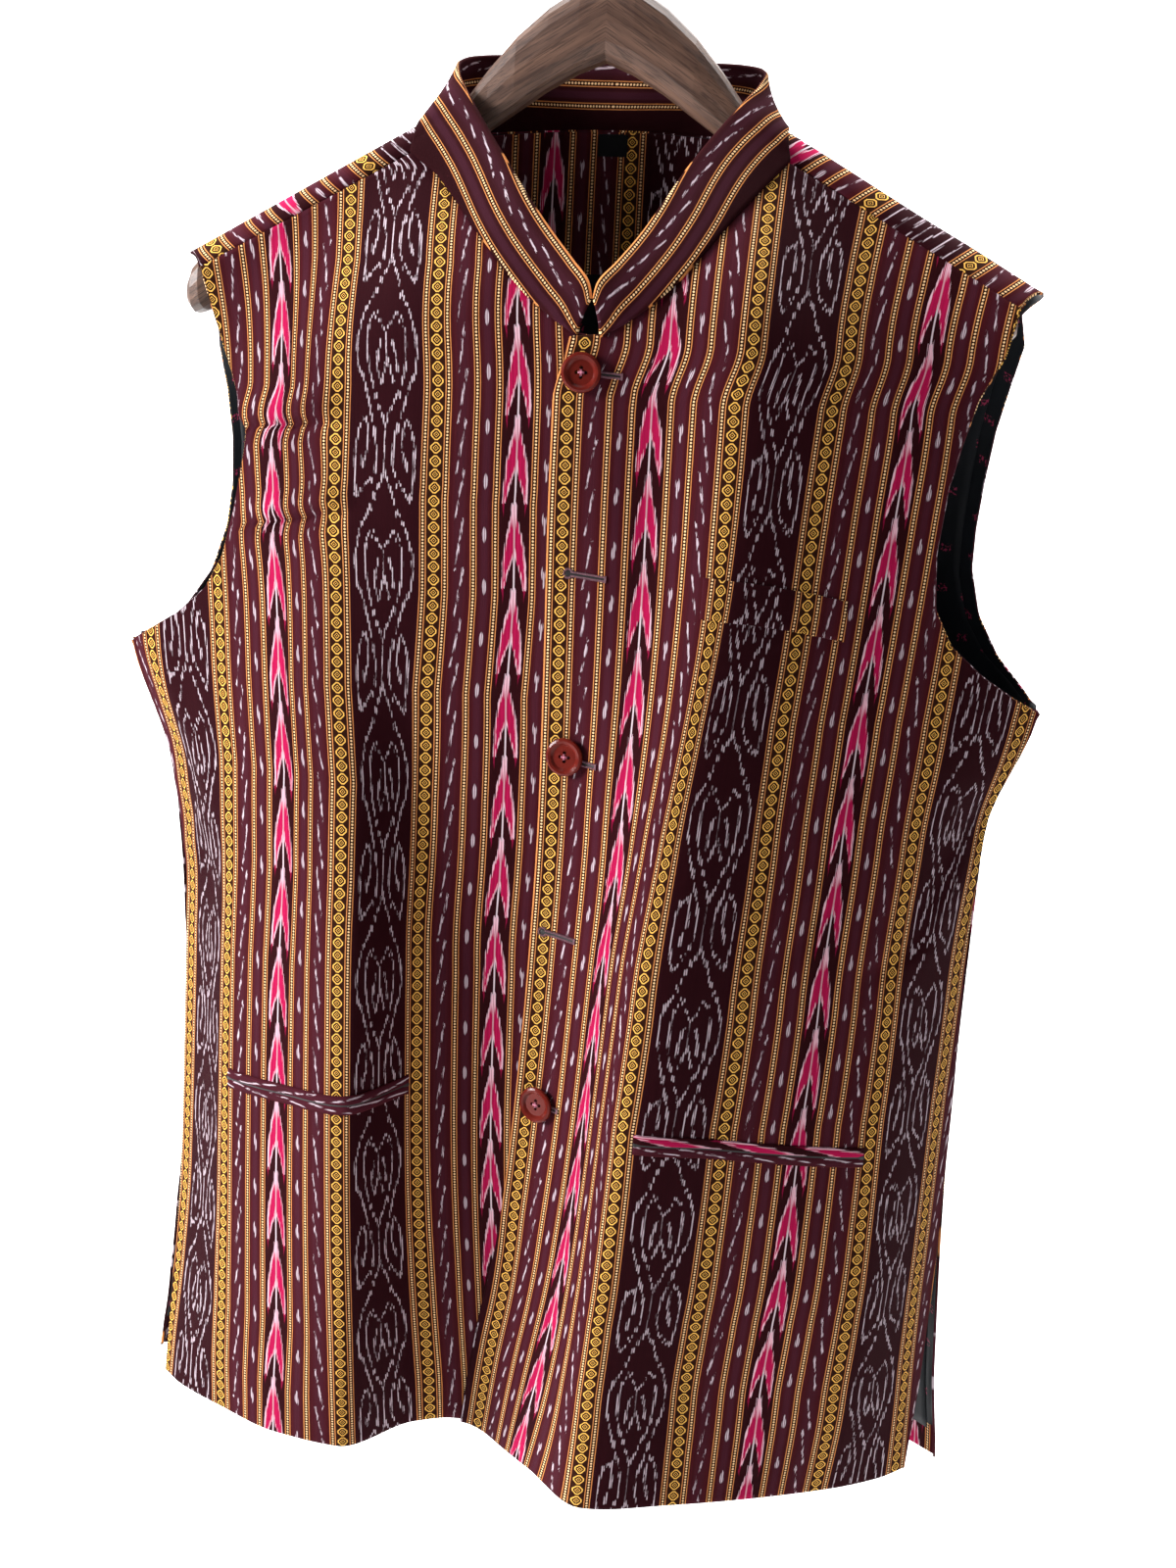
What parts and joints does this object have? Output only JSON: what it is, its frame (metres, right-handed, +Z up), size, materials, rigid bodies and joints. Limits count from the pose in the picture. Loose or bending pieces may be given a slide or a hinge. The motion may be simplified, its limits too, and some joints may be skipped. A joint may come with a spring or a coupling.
{
  "type": "ikat jacket on a hanger",
  "caption": "Sleeveless stand-collar jacket of striped ikat cloth, buttoned down the front, with a breast welt and two jetted pockets, hanging on a contoured wooden hanger.",
  "frame": {"origin": "inside top of the hanger's hook, where the jacket is held", "axes": "+Z up, -Y the wearer's front, +X the wearer's left"},
  "size_m": [0.502, 0.1768, 0.89],
  "materials": {
    "ikat_cloth": "woven cotton with striped ikat and figured bands, matt",
    "lining": "satin",
    "label": "woven tape, matt",
    "button": "polished",
    "walnut": "varnished dark walnut",
    "steel": "polished wire"
  },
  "bodies": {
    "root": {"front_left": "ikat_cloth", "front_right": "ikat_cloth", "back": "ikat_cloth", "collar": "ikat_cloth", "back_neck_facing": "ikat_cloth", "breast_welt": "ikat_cloth", "jet_left_upper": "ikat_cloth", "jet_left_lower": "ikat_cloth", "jet_right_upper": "ikat_cloth", "jet_right_lower": "ikat_cloth", "back_lining": "lining", "size_label": "label", "button_top": "button", "button_middle": "button", "button_bottom": "button", "hanger_bar": "walnut", "hanger_hook": "steel"}
  },
  "joints": []
}
